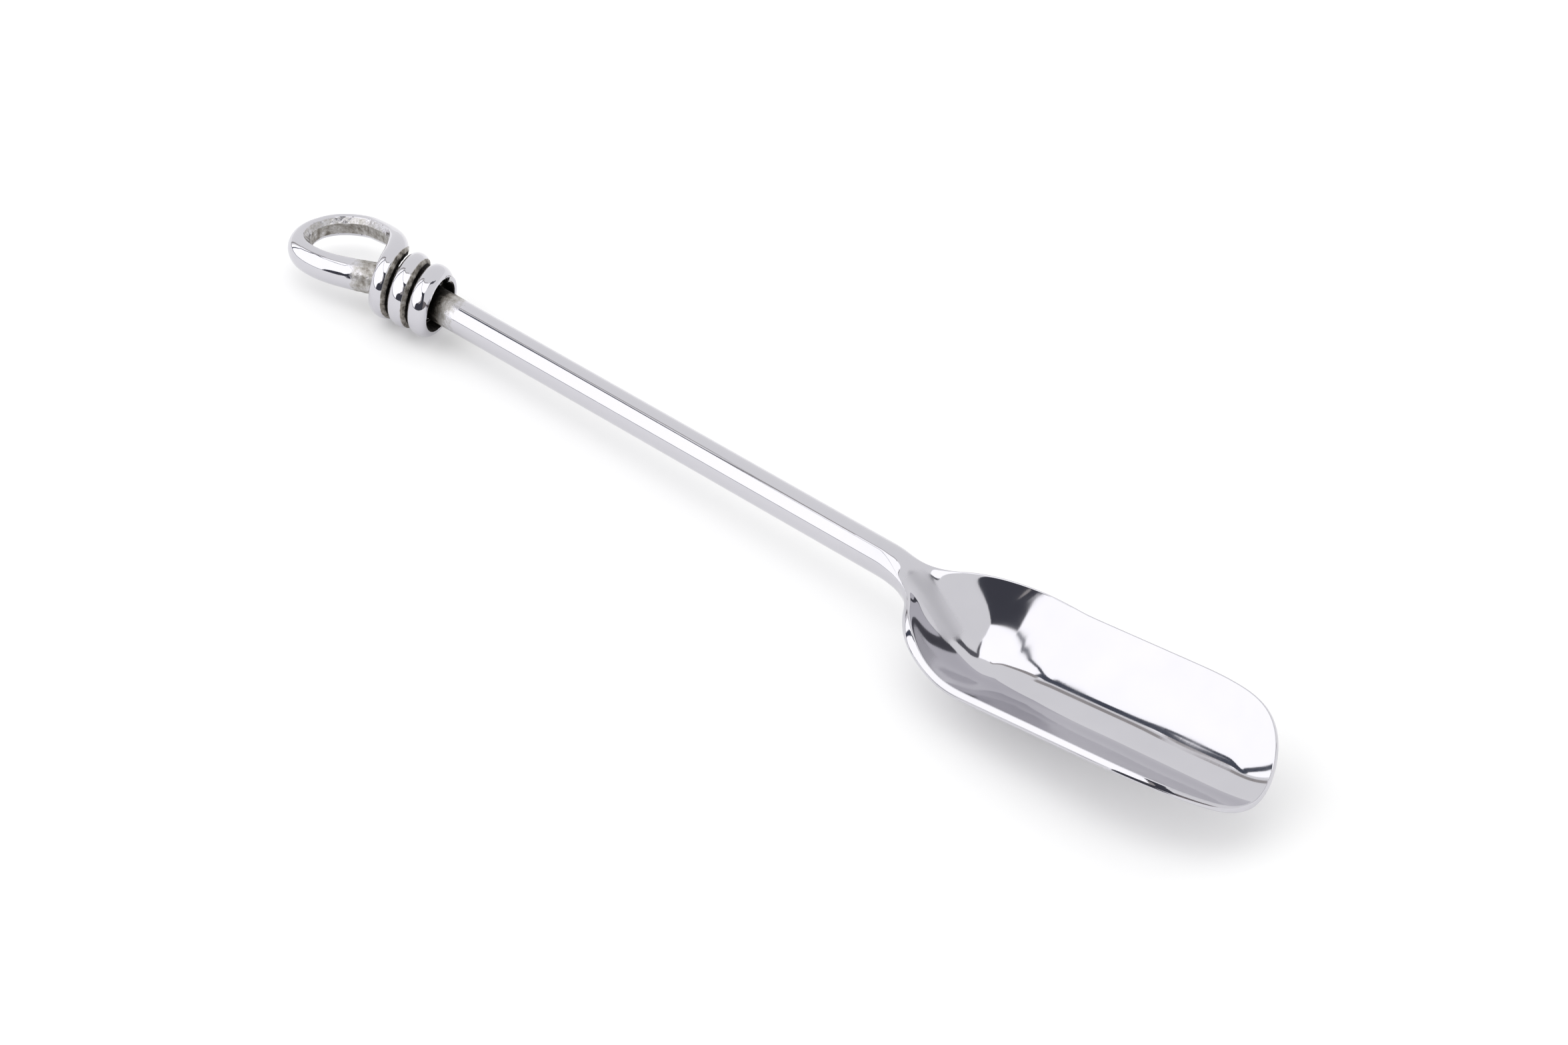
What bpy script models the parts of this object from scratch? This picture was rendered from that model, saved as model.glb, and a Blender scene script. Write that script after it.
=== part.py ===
"""Stilton scoop: a polished steel trough on a round bar, with a cast knot and hanging eye at the other end.

The pieces are modelled along the handle: the bar's axis is local X and points to the scoop's lip, Y points
to the far side of the eye. The "spoon" empty then lays the whole scoop down the way it lies on a table,
where it touches at the heel of the trough and under the knot.
"""

import math

import bmesh
import bpy
from mathutils import Matrix, Vector

MM = 0.001
DEG = math.pi / 180

# Handle bar: straight and round, between the two welds
BAR_RADIUS = 3.0 * MM
BAR_LENGTH = 109.6 * MM
ROUND_POINTS = 64
SHARP_ANGLE = 40.0 * DEG

# Welds: both dressed to the bar's radius, one at the scoop's neck and one hidden in the knot's socket
NECK_WELD_LENGTH = 2.0 * MM
KNOT_WELD_LENGTH = 1.6 * MM

# Scoop, along the handle: round neck, shoulders, straight trough and rounded lip
NECK_LENGTH = 9.0 * MM
SHOULDER_LENGTH = 25.7 * MM
TROUGH_LENGTH = 21.8 * MM
LIP_LENGTH = 27.5 * MM
NECK_FILLET = 9.4 * MM

# Scoop, across: width and depth are taken at the middle of the sheet
SCOOP_WIDTH = 30.2 * MM
SCOOP_DEPTH = 8.3 * MM
SCOOP_WALL = 1.5 * MM
LIP_WALL = 1.2 * MM
LIP_EDGE = 0.5 * MM
FLOOR_ROUNDNESS = 0.52
RIM_SQUARENESS = 10.0
LIP_SIDE_POWER = 1.7
LIP_FRONT_POWER = 3.8

# Scoop, in side view: the rim drops below the bar and then climbs to the lip
RIM_DROP = 3.4 * MM
RIM_RUNOUT = 2.0 * MM
RIM_SLOPE = 6.0 * DEG
UNDERSIDE_LEAD = 4.4 * MM
UNDERSIDE_LENGTH = 22.8 * MM
DISH_LEAD = 2.9 * MM
DISH_LENGTH = 27.9 * MM
HEEL_FLAT = 0.2 * MM

# Eye: the knot's bar leaves the weld as a leg, goes round the eye and comes back over the handle
LEG_ANGLE = 17.0 * DEG
EYE_REACH = 18.8 * MM
EYE_OFFSET = 0.95 * MM
EYE_RADIUS = 6.95 * MM
EYE_START = -97.0 * DEG
EYE_END = 77.0 * DEG
EYE_CLIMB = 1.0 * MM
CLIMB_ANGLE = 60.0 * DEG
BAR_AT_NEAR_SIDE = 2.7 * MM
BAR_AT_END = 2.0 * MM
BAR_AT_FAR_SIDE = 2.0 * MM
FLATTENED_INSIDE = 0.75
RETURN_LEAVES = 0.6
RETURN_ARRIVES = 0.25

# Coil: the same bar wraps the handle, leaning towards the scoop in front and at the top
COIL_TURNS = 2.9
COIL_PITCH = 5.05 * MM
COIL_START = 3.8 * MM
COIL_CLEARANCE = 1.5 * MM
COIL_TAPER = 0.45 * MM
COIL_GAP = 0.3 * MM
CROWN_HEIGHT = 1.75 * MM
BORE_HEIGHT = 0.6 * MM
LEAN_IN_FRONT = 1.9 * MM
LEAN_ON_TOP = 1.5 * MM
COIL_SHIFT = 0.45 * MM
START_SHARE = 0.35
TAIL_SHARE = 0.4
TAIL_HALF_WIDTH = 0.9 * MM
TAIL_CROWN = 0.75 * MM
TAIL_BORE = 0.35 * MM
KNOT_POINTS = 20

# Socket: the casting's sleeve under the turns, slanted like them, with a wider mouth for the bar
SOCKET_CLEARANCE = 0.3 * MM
SLEEVE_WALL = 1.9 * MM
SLEEVE_LAP = 2.15 * MM
MOUTH_LAP = 2.8 * MM
MOUTH_LENGTH = 2.1 * MM
MOUTH_CLEARANCE = 1.6 * MM
MOUTH_WALL = 1.3 * MM

ALONG = Vector((1, 0, 0))
ACROSS = Vector((0, 1, 0))
UP = Vector((0, 0, 1))
LEG_HEADING = Vector((-math.cos(LEG_ANGLE), -math.sin(LEG_ANGLE), 0))


def mix(a, b, t):
    return a + (b - a) * t


def smooth(t):
    """Runs from 0 to 1 with level ends."""
    t = min(max(t, 0.0), 1.0)
    return t * t * (3 - 2 * t)


def bezier(start, leave, arrive, end, t):
    s = 1 - t
    return s**3 * start + 3 * s * s * t * leave + 3 * s * t * t * arrive + t**3 * end


def ogee(x, run, rise, first_radius):
    """Two tangent arcs that climb by rise over run, the first with the given radius."""
    if x <= 0:
        return 0.0
    if x >= run:
        return rise
    turn = 2 * math.atan2(rise, run)
    second_radius = run / math.sin(turn) - first_radius
    if x < first_radius * math.sin(turn):
        return first_radius - math.sqrt(first_radius**2 - x**2)
    return rise - second_radius + math.sqrt(second_radius**2 - (run - x) ** 2)


def circle(centre, across, up, radius, count):
    turns = (2 * math.pi * i / count for i in range(count))
    return [centre + radius * (math.cos(t) * across + math.sin(t) * up) for t in turns]


def finished(shape, name):
    bmesh.ops.recalc_face_normals(shape, faces=shape.faces)
    mesh = bpy.data.meshes.new(name)
    shape.to_mesh(mesh)
    shape.free()
    mesh.shade_smooth()
    mesh.set_sharp_from_angle(angle=SHARP_ANGLE)
    return mesh


def rod(name, start, end):
    """A length of the handle's bar."""
    shape = bmesh.new()
    bmesh.ops.create_cone(
        shape,
        cap_ends=True,
        segments=ROUND_POINTS,
        radius1=BAR_RADIUS,
        radius2=BAR_RADIUS,
        depth=(end - start).length,
        matrix=Matrix.Translation((start + end) / 2) @ Matrix.Rotation(math.pi / 2, 4, "Y"),
    )
    return finished(shape, name)


def loft(name, rings, folded_end=False):
    """A closed mesh through rings of equal count, capped flat or, at the end, folded shut edge to edge."""
    shape = bmesh.new()
    rows = [[shape.verts.new(point) for point in ring] for ring in rings]
    count = len(rows[0])
    for row, following in zip(rows, rows[1:]):
        for i in range(count):
            j = (i + 1) % count
            shape.faces.new((row[i], row[j], following[j], following[i]))
    shape.faces.new(rows[0])
    last = rows[-1]
    if folded_end:
        half = count // 2
        shape.faces.new((last[0], last[1], last[-1]))
        for i in range(1, half - 1):
            shape.faces.new((last[i], last[i + 1], last[count - i - 1], last[count - i]))
        shape.faces.new((last[half - 1], last[half], last[half + 1]))
    else:
        shape.faces.new(last)
    return finished(shape, name)


# Scoop: x is measured from the neck weld, q runs from -1 at the near rim to 1 at the far one

SHOULDER_START = NECK_LENGTH
SHOULDER_END = SHOULDER_START + SHOULDER_LENGTH
LIP_START = SHOULDER_END + TROUGH_LENGTH


def opened(x):
    """How far the round neck has opened out into the sheet."""
    return smooth((x - SHOULDER_START + DISH_LEAD) / DISH_LENGTH)


def half_width(x):
    return BAR_RADIUS + ogee(x - SHOULDER_START, SHOULDER_LENGTH, SCOOP_WIDTH / 2 - BAR_RADIUS, NECK_FILLET)


def climb(x):
    return math.tan(RIM_SLOPE) * max(x - SHOULDER_END, 0.0)


def rim_height(x):
    return climb(x) - RIM_DROP * smooth((x - SHOULDER_START) / (SHOULDER_LENGTH + RIM_RUNOUT))


def wall(x):
    dished = mix(2 * BAR_RADIUS, SCOOP_WALL, opened(x))
    return mix(dished, LIP_WALL, smooth((x - LIP_START) / LIP_LENGTH))


def floor_height(x):
    heel = -RIM_DROP - SCOOP_DEPTH - SCOOP_WALL / 2
    drop = smooth((x - SHOULDER_START + UNDERSIDE_LEAD) / UNDERSIDE_LENGTH)
    return mix(-BAR_RADIUS, heel, drop) + climb(x) + wall(x) / 2


def side_rise(q):
    """Share of the depth at q: straight leaning sides on a rounded floor."""
    k = FLOOR_ROUNDNESS
    return (math.hypot(k, q) - k) / (math.hypot(k, 1) - k)


def sheet_point(x, q):
    base = floor_height(x)
    return Vector((x, q * half_width(x), mix(base, rim_height(x), side_rise(q))))


def sheet_normal(x, q):
    step = 0.05 * MM
    share = 0.002
    along = sheet_point(x + step, q) - sheet_point(x - step, q)
    across = sheet_point(x, min(q + share, 1.0)) - sheet_point(x, max(q - share, -1.0))
    return along.cross(across).normalized()


def lip_reach(q):
    """How far the lip's outline lies beyond the end of the straight rim."""
    return LIP_LENGTH * max(1 - abs(q) ** LIP_SIDE_POWER, 0.0) ** (1 / LIP_FRONT_POWER)


def scoop_ring(start, bow, thickness):
    """A section of the scoop. bow carries it from start to the lip's outline as it goes from 0 to 1."""
    ring = []
    power = mix(2.0, RIM_SQUARENESS, opened(start))
    for i in range(ROUND_POINTS):
        turn = 2 * math.pi * i / ROUND_POINTS
        q = math.cos(turn)
        x = start + bow * (TROUGH_LENGTH + lip_reach(q))
        height = thickness * wall(x) / 2 * max(1 - abs(q) ** power, 0.0) ** (1 / power)
        normal = mix(UP, sheet_normal(x, q), opened(start)).normalized()
        ring.append(sheet_point(x, q) + math.copysign(height, math.sin(turn)) * normal)
    return ring


def scoop_rings():
    neck_steps = 30
    rings = [scoop_ring(SHOULDER_END * i / neck_steps, 0, 1) for i in range(neck_steps)]
    trough_steps = 16
    edge = LIP_EDGE / (TROUGH_LENGTH + LIP_LENGTH)
    rings += [scoop_ring(SHOULDER_END, (1 - edge) * i / trough_steps, 1) for i in range(trough_steps)]
    edge_steps = 5
    for i in range(edge_steps):
        turn = math.pi / 2 * i / edge_steps
        rings.append(scoop_ring(SHOULDER_END, 1 - edge * (1 - math.sin(turn)), math.cos(turn)))
    return rings


# Knot: measured from the middle of the leg's end face, in the bar's frame


def thinning(share):
    """0 along the coil and 1 at its tail."""
    return smooth((share - 1) / TAIL_SHARE + 1)


def crown_height(share):
    return mix(CROWN_HEIGHT, TAIL_CROWN, thinning(share))


def bore_height(share):
    return mix(BORE_HEIGHT, TAIL_BORE, thinning(share))


def coil_axis(share):
    return Vector((0, -COIL_SHIFT * (1 - share), 0))


def coil_radius(share):
    """From the handle's axis to the middle of the coil's bar. The crown of the turns tapers to the mouth."""
    crown = BAR_RADIUS + COIL_CLEARANCE + BORE_HEIGHT + CROWN_HEIGHT - COIL_TAPER * share
    return crown - crown_height(share)


def coil_slant(share):
    """Cosine of the angle between the coil's bar and a plain ring round the handle."""
    turn = 2 * math.pi * COIL_TURNS * share
    advance = COIL_PITCH / (2 * math.pi) + LEAN_IN_FRONT * math.cos(turn) - LEAN_ON_TOP * math.sin(turn)
    return math.cos(math.atan2(advance, coil_radius(share)))


def room(share):
    """Half of the width that the neighbouring turns leave for the bar."""
    return (COIL_PITCH * coil_slant(share) - COIL_GAP) / 2


def coil_half_width(share):
    """The bar comes in narrow, fills the room between the turns and thins to its tail."""
    width = mix(room(0), room(share), smooth(share / START_SHARE))
    return mix(width, TAIL_HALF_WIDTH, thinning(share))


def coil_point(share):
    """The middle of the coil's bar. A narrow start keeps to the next turn, a thin tail to the last one."""
    turn = 2 * math.pi * COIL_TURNS * share
    lean = LEAN_IN_FRONT * math.sin(turn) + LEAN_ON_TOP * math.cos(turn)
    spare = (room(share) - coil_half_width(share)) / coil_slant(share)
    tuck = spare if share < 0.5 else -spare
    along = COIL_PITCH * COIL_TURNS * share + lean + tuck - COIL_START
    around = Vector((0, -math.sin(turn), math.cos(turn)))
    return coil_axis(share) + along * ALONG + coil_radius(share) * around


def eye_point(angle):
    climbed = max(EYE_END + CLIMB_ANGLE - angle - 2 * math.pi, 0.0) / CLIMB_ANGLE
    return Vector((
        EYE_RADIUS * math.cos(angle) - EYE_REACH,
        EYE_RADIUS * math.sin(angle) + EYE_OFFSET,
        EYE_CLIMB * climbed**2,
    ))


def eye_bar_radius(t):
    """The bar tapers from the near side of the eye to its end, and on to its far side."""
    if t < 0.5:
        return mix(BAR_AT_NEAR_SIDE, BAR_AT_END, 2 * t)
    return mix(BAR_AT_END, BAR_AT_FAR_SIDE, 2 * t - 1)


def knot_stations():
    """(middle, half width, outer height, inner height, coiling) from the weld to the tail of the coil."""
    eye_end = EYE_END - 2 * math.pi
    step = 0.01
    stations = []

    leg_start = Vector((0, 0, 0))
    leg_end = eye_point(EYE_START)
    arriving = (eye_point(EYE_START - step) - leg_end).normalized()
    reach = (leg_end - leg_start).length / 3
    leg_steps = 9
    for i in range(leg_steps):
        t = i / leg_steps
        middle = bezier(leg_start, leg_start + reach * LEG_HEADING, leg_end - reach * arriving, leg_end, t)
        radius = mix(BAR_RADIUS, BAR_AT_NEAR_SIDE, t)
        stations.append((middle, radius, radius, radius * mix(1, FLATTENED_INSIDE, smooth(t)), 0.0))

    eye_steps = 26
    for i in range(eye_steps):
        t = i / eye_steps
        radius = eye_bar_radius(t)
        middle = eye_point(mix(EYE_START, eye_end, t))
        stations.append((middle, radius, radius, radius * FLATTENED_INSIDE, 0.0))

    start = eye_point(eye_end)
    leaving = (start - eye_point(eye_end + step)).normalized()
    end = coil_point(0)
    arriving = (coil_point(step) - coil_point(-step)).normalized()
    span = (end - start).length
    outgoing = RETURN_LEAVES * span * leaving
    incoming = RETURN_ARRIVES * span * arriving
    return_steps = 14
    for i in range(return_steps):
        t = i / return_steps
        middle = bezier(start, start + outgoing, end - incoming, end, t)
        width = mix(BAR_AT_FAR_SIDE, coil_half_width(0), t)
        crown = mix(BAR_AT_FAR_SIDE, CROWN_HEIGHT, t)
        bore = mix(BAR_AT_FAR_SIDE * FLATTENED_INSIDE, BORE_HEIGHT, t)
        stations.append((middle, width, crown, bore, smooth(t)))

    steps_per_turn = 24
    coil_steps = round(steps_per_turn * COIL_TURNS)
    for i in range(coil_steps + 1):
        share = i / coil_steps
        heights = crown_height(share), bore_height(share)
        stations.append((coil_point(share), coil_half_width(share), *heights, 1.0))
    return stations


def knot_rings():
    stations = knot_stations()
    rings = []
    for i, (middle, width, crown, bore, coiling) in enumerate(stations):
        before = stations[max(i - 1, 0)][0]
        after = stations[min(i + 1, len(stations) - 1)][0]
        heading = (after - before).normalized() if i else LEG_HEADING
        into_eye = heading.cross(UP).normalized()
        into_bore = Vector((0, -middle.y, -middle.z)).normalized()
        inward = into_eye.lerp(into_bore, coiling)
        inward = (inward - inward.dot(heading) * heading).normalized()
        side = heading.cross(inward)
        ring = []
        for k in range(KNOT_POINTS):
            turn = 2 * math.pi * k / KNOT_POINTS
            height = math.sin(turn) * (bore if math.sin(turn) > 0 else crown)
            ring.append(middle + math.cos(turn) * width * side + height * inward)
        rings.append(ring)
    return rings


def socket_mesh(name, leg):
    """The casting's sleeve: its outline spun round the handle, then slanted like the turns that lie on it."""
    bore = BAR_RADIUS + SOCKET_CLEARANCE
    sleeve = bore + SLEEVE_WALL
    mouth_bore = BAR_RADIUS + MOUTH_CLEARANCE
    mouth = mouth_bore + MOUTH_WALL
    sleeve_start = COIL_PITCH - COIL_START - SLEEVE_LAP
    mouth_end = COIL_PITCH * (COIL_TURNS - 1) - COIL_START + MOUTH_LAP
    mouth_start = mouth_end - MOUTH_LENGTH
    mouth_floor = mouth_start + MOUTH_WALL
    outline = [
        (sleeve_start, bore),
        (sleeve_start, sleeve),
        (mouth_start, sleeve),
        (mouth_start, mouth),
        (mouth_end, mouth),
        (mouth_end, mouth_bore),
        (mouth_floor, mouth_bore),
        (mouth_floor, bore),
    ]
    shape = bmesh.new()
    corners = [shape.verts.new((x, 0, radius)) for x, radius in outline]
    edges = [shape.edges.new(pair) for pair in zip(corners, corners[1:] + corners[:1])]
    bmesh.ops.spin(
        shape,
        geom=corners + edges,
        cent=(0, 0, 0),
        axis=ALONG,
        angle=2 * math.pi,
        steps=ROUND_POINTS,
        use_merge=True,
    )
    slant = Matrix.Translation(leg)
    slant[0][1] = -LEAN_IN_FRONT / coil_radius(0)
    slant[0][2] = LEAN_ON_TOP / coil_radius(0)
    bmesh.ops.transform(shape, matrix=slant, verts=shape.verts)
    return finished(shape, name)


# Assembly


def clear_scene():
    for obj in list(bpy.data.objects):
        bpy.data.objects.remove(obj, do_unlink=True)


def steel(name, colour, roughness):
    material = bpy.data.materials.new(name)
    material.use_nodes = True
    shader = material.node_tree.nodes["Principled BSDF"]
    shader.inputs["Base Color"].default_value = (*colour, 1.0)
    shader.inputs["Metallic"].default_value = 1.0
    shader.inputs["Roughness"].default_value = roughness
    return material


def moved(rings, offset):
    return [[point + offset for point in ring] for ring in rings]


def table_line(knot_points, scoop_points):
    """Where a table touches the knot and the heel's flat, as a point and a slope in side view."""
    slope = 0.0
    for _ in range(10):
        knot_low = min(knot_points, key=lambda p: p.z - slope * p.x)
        heel_low = min(scoop_points, key=lambda p: p.z - slope * p.x)
        slope = (heel_low.z + HEEL_FLAT - knot_low.z) / (heel_low.x - knot_low.x)
    return knot_low, slope


def build():
    clear_scene()
    collection = bpy.data.collections.new("stilton_scoop")
    bpy.context.scene.collection.children.link(collection)

    bar_start = -BAR_LENGTH / 2 * ALONG
    bar_end = BAR_LENGTH / 2 * ALONG
    neck = bar_end + NECK_WELD_LENGTH * ALONG
    leg = bar_start - KNOT_WELD_LENGTH * ALONG

    scoop = moved(scoop_rings(), neck)
    knot = moved(knot_rings(), leg)
    touch, slope = table_line(sum(knot, []), sum(scoop, []))
    for point in sum(scoop, []):
        point.z = max(point.z, touch.z + slope * (point.x - touch.x))

    leg_end = circle(leg, LEG_HEADING.cross(UP), UP, BAR_RADIUS, ROUND_POINTS)
    bar_face = circle(bar_start, ACROSS, UP, BAR_RADIUS, ROUND_POINTS)
    meshes = {
        "scoop": loft("scoop", scoop, folded_end=True),
        "neck_weld": rod("neck_weld", bar_end, neck),
        "handle_bar": rod("handle_bar", bar_start, bar_end),
        "knot_weld": loft("knot_weld", [leg_end, bar_face]),
        "knot": loft("knot", knot),
    }
    finishes = {
        "scoop": ((0.80, 0.79, 0.81), 0.05),
        "neck_weld": ((0.78, 0.77, 0.79), 0.08),
        "handle_bar": ((0.79, 0.78, 0.80), 0.07),
        "knot_weld": ((0.24, 0.22, 0.20), 0.60),
        "knot": ((0.76, 0.75, 0.77), 0.10),
    }

    lay_down = Matrix.Rotation(math.atan(slope), 4, "Y")
    corners = [lay_down @ vertex.co for mesh in meshes.values() for vertex in mesh.vertices]
    middle_x = (min(c.x for c in corners) + max(c.x for c in corners)) / 2
    middle_y = (min(c.y for c in corners) + max(c.y for c in corners)) / 2
    spoon = bpy.data.objects.new("spoon", None)
    collection.objects.link(spoon)
    spoon.matrix_world = Matrix.Translation((-middle_x, -middle_y, -min(c.z for c in corners))) @ lay_down

    for name, mesh in meshes.items():
        part = bpy.data.objects.new(name, mesh)
        collection.objects.link(part)
        part.parent = spoon
        mesh.materials.append(steel(name + "_steel", *finishes[name]))

    joined = bpy.data.collections.new("joined_shapes")
    joined.hide_render = True
    bpy.context.scene.collection.children.link(joined)
    socket = bpy.data.objects.new("socket", socket_mesh("socket", leg))
    joined.objects.link(socket)
    socket.parent = spoon
    socket.hide_render = True
    socket.display_type = "WIRE"
    union = bpy.data.objects["knot"].modifiers.new("socket", "BOOLEAN")
    union.operation = "UNION"
    union.solver = "EXACT"
    union.object = socket


build()
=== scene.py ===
# %% [markdown]
# A stilton scoop, from its CAD frame to its picture.
# The real thing is stainless steel: a forged trough on a round bar, and a cast knot with a hanging eye.
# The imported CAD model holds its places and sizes, so it is loaded first and never moved.
# Each visible piece is then modelled again at full detail in the same place, and it stands for its CAD node.

# %% Load the frame
import math

import bmesh
import bpy
from mathutils import Matrix, Vector


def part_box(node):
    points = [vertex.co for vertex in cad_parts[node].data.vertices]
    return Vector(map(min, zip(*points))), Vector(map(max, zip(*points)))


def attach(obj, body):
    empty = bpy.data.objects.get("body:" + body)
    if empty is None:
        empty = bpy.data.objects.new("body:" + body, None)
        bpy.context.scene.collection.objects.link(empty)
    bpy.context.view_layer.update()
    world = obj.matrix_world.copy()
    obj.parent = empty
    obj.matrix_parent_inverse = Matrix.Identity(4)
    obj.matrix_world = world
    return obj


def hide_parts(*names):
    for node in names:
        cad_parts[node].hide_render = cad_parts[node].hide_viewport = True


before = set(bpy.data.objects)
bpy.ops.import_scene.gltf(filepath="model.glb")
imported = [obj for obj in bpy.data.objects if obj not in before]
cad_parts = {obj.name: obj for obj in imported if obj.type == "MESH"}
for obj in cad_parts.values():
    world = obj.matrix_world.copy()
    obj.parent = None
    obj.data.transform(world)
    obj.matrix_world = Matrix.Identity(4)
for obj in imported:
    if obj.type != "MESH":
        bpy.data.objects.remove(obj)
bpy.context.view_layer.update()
print("CAD nodes:", sorted(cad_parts))

# %% [markdown]
# The scoop lies on two points, the heel of its trough and the underside of its knot,
# so the bar is a little tilted.
# It is easier to model along the bar and to lay the finished piece down than to model at a tilt.
# The table's matrix does that: it turns by the tilt and moves to the middle of the CAD bar.

# %% The bar's own frame
MM = 0.001
DEG = math.pi / 180
TILT = 2.1863 * DEG
BAR_RADIUS = 3.0 * MM
BAR_LENGTH = 109.6 * MM

bar_low, bar_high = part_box("handle_bar")
LAID_DOWN = Matrix.Translation((bar_low + bar_high) / 2) @ Matrix.Rotation(-TILT, 4, "Y")
ALONG = Vector((1, 0, 0))
UP = Vector((0, 0, 1))
print("middle of the bar in mm:", [round(v / MM, 2) for v in LAID_DOWN.translation])

# %% [markdown]
# Trough and knot are both swept forms: one section that changes as it follows a line.
# By hand they could be extruded ring by ring, but a mirror finish shows every slip of a ring.
# So each starts as a flat grid, a sheet of stock,
# and a rule for its rows and columns bends the sheet into place.
# Where edges of the bent sheet meet, they are merged, and an open end is filled.
# A second rule can say how well each corner was reached by the polishing wheel, for the finish to read later.

# %% Stock and forging
MERGE_REACH = 0.0005 * MM


def sheet_stock(name, rows, columns):
    """A flat grid primitive with that many rows and columns of corners."""
    bpy.ops.object.select_all(action="DESELECT")
    bpy.ops.mesh.primitive_grid_add(x_subdivisions=rows - 1, y_subdivisions=columns - 1, size=1)
    piece = bpy.context.object
    piece.name = piece.data.name = name
    return piece


def forged(piece, rows, columns, place, polished=None, crisp=50):
    """Moves each corner to place(row, column), closes the seams and fills the open ends.

    Edges that turn by more than crisp degrees stay crisp, and the rest is shaded smooth.
    """
    polish = piece.data.attributes.new("polish", "FLOAT", "POINT") if polished else None
    for corner in piece.data.vertices:
        row = round((corner.co.x + 0.5) * (rows - 1))
        column = round((corner.co.y + 0.5) * (columns - 1))
        corner.co = LAID_DOWN @ place(row, column)
        if polish:
            polish.data[corner.index].value = polished(row, column)
    bpy.ops.object.mode_set(mode="EDIT")
    bpy.ops.mesh.select_all(action="SELECT")
    bpy.ops.mesh.remove_doubles(threshold=MERGE_REACH)
    bpy.ops.mesh.select_all(action="DESELECT")
    bpy.ops.mesh.select_mode(type="EDGE")
    bpy.ops.mesh.select_non_manifold()
    bpy.ops.mesh.fill_holes(sides=0)
    bpy.ops.mesh.select_all(action="SELECT")
    bpy.ops.mesh.normals_make_consistent(inside=False)
    bpy.ops.mesh.select_all(action="DESELECT")
    bpy.ops.object.mode_set(mode="OBJECT")
    bpy.ops.object.shade_smooth_by_angle(angle=crisp * DEG)
    print(piece.name, "has", len(piece.data.vertices), "corners")
    return piece


def mix(a, b, t):
    return a + (b - a) * t


def smooth(t):
    """Runs from 0 to 1 with level ends."""
    t = min(max(t, 0.0), 1.0)
    return t * t * (3 - 2 * t)


# %% [markdown]
# The trough is forged from the end of a bar:
# a round neck opens through two shoulders into a sheet with a bowed lip.
# Its plan, its depth and its thickness are three plain rules along x, which is measured from the neck's weld.
# These are the rules of the CAD source. The floor's values differ a little, because they were fitted to what
# the steel mirrors, which shows a slope far better than an outline does. The two stay within a millimetre.

# %% The trough's form
NECK_LENGTH = 9.0 * MM
SHOULDER_LENGTH = 25.7 * MM
TROUGH_LENGTH = 21.8 * MM
LIP_LENGTH = 27.5 * MM
NECK_FILLET = 9.4 * MM
SCOOP_WIDTH = 30.2 * MM
SCOOP_DEPTH = 8.3 * MM
SCOOP_WALL = 1.5 * MM
LIP_WALL = 1.2 * MM
FLOOR_ROUNDNESS = 0.38
NECK_POWER = 3.431
RAMP_START = 7.73 * MM
RAMP_LENGTH = 21.39 * MM
LIP_SIDE_POWER = 1.7
LIP_FRONT_POWER = 3.8
RIM_DROP = 3.4 * MM
RIM_RUNOUT = 2.0 * MM
RIM_SLOPE = 6.0 * DEG
CLIMB_BLEND = 4.0 * MM
UNDERSIDE_LEAD = 3.43 * MM
UNDERSIDE_LENGTH = 24.29 * MM
DISH_LEAD = 2.06 * MM
DISH_LENGTH = 21.64 * MM
SLOPE_STEP = 0.05 * MM
SHOULDER_END = NECK_LENGTH + SHOULDER_LENGTH
LIP_START = SHOULDER_END + TROUGH_LENGTH


def ogee(x, run, rise, first_radius):
    """Two tangent arcs that climb by rise over run, the first with the given radius."""
    if x <= 0:
        return 0.0
    if x >= run:
        return rise
    turn = 2 * math.atan2(rise, run)
    second_radius = run / math.sin(turn) - first_radius
    if x < first_radius * math.sin(turn):
        return first_radius - math.sqrt(first_radius**2 - x**2)
    return rise - second_radius + math.sqrt(second_radius**2 - (run - x) ** 2)


def opened(x):
    """How far the round neck has opened out into the sheet."""
    return smooth((x - NECK_LENGTH + DISH_LEAD) / DISH_LENGTH)


def half_width(x):
    return BAR_RADIUS + ogee(x - NECK_LENGTH, SHOULDER_LENGTH, SCOOP_WIDTH / 2 - BAR_RADIUS, NECK_FILLET)


def climb(x):
    """The trough's slope towards the lip, which starts with a soft bend where the shoulders end."""
    past = x - SHOULDER_END
    bend = (past + CLIMB_BLEND) ** 2 / (4 * CLIMB_BLEND)
    return math.tan(RIM_SLOPE) * (bend if abs(past) < CLIMB_BLEND else max(past, 0.0))


def rim_height(x):
    return climb(x) - RIM_DROP * smooth((x - NECK_LENGTH) / (SHOULDER_LENGTH + RIM_RUNOUT))


def wall(x):
    dished = mix(2 * BAR_RADIUS, SCOOP_WALL, opened(x))
    return mix(dished, LIP_WALL, smooth((x - LIP_START) / LIP_LENGTH))


def floor_height(x):
    heel = -RIM_DROP - SCOOP_DEPTH - SCOOP_WALL / 2
    drop = smooth((x - NECK_LENGTH + UNDERSIDE_LEAD) / UNDERSIDE_LENGTH)
    return mix(-BAR_RADIUS, heel, drop) + climb(x) + wall(x) / 2


def side_rise(x, q):
    """Share of the depth at q, which is 0 on the middle line and 1 at a rim.

    Near the neck, the floor is flatter.
    """
    k = FLOOR_ROUNDNESS
    round_floor = (math.hypot(k, q) - k) / (math.hypot(k, 1) - k)
    return mix(abs(q) ** NECK_POWER, round_floor, smooth((x - RAMP_START) / RAMP_LENGTH))


def sheet_point(x, y):
    return Vector((x, y, mix(floor_height(x), rim_height(x), side_rise(x, y / half_width(x)))))


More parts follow.
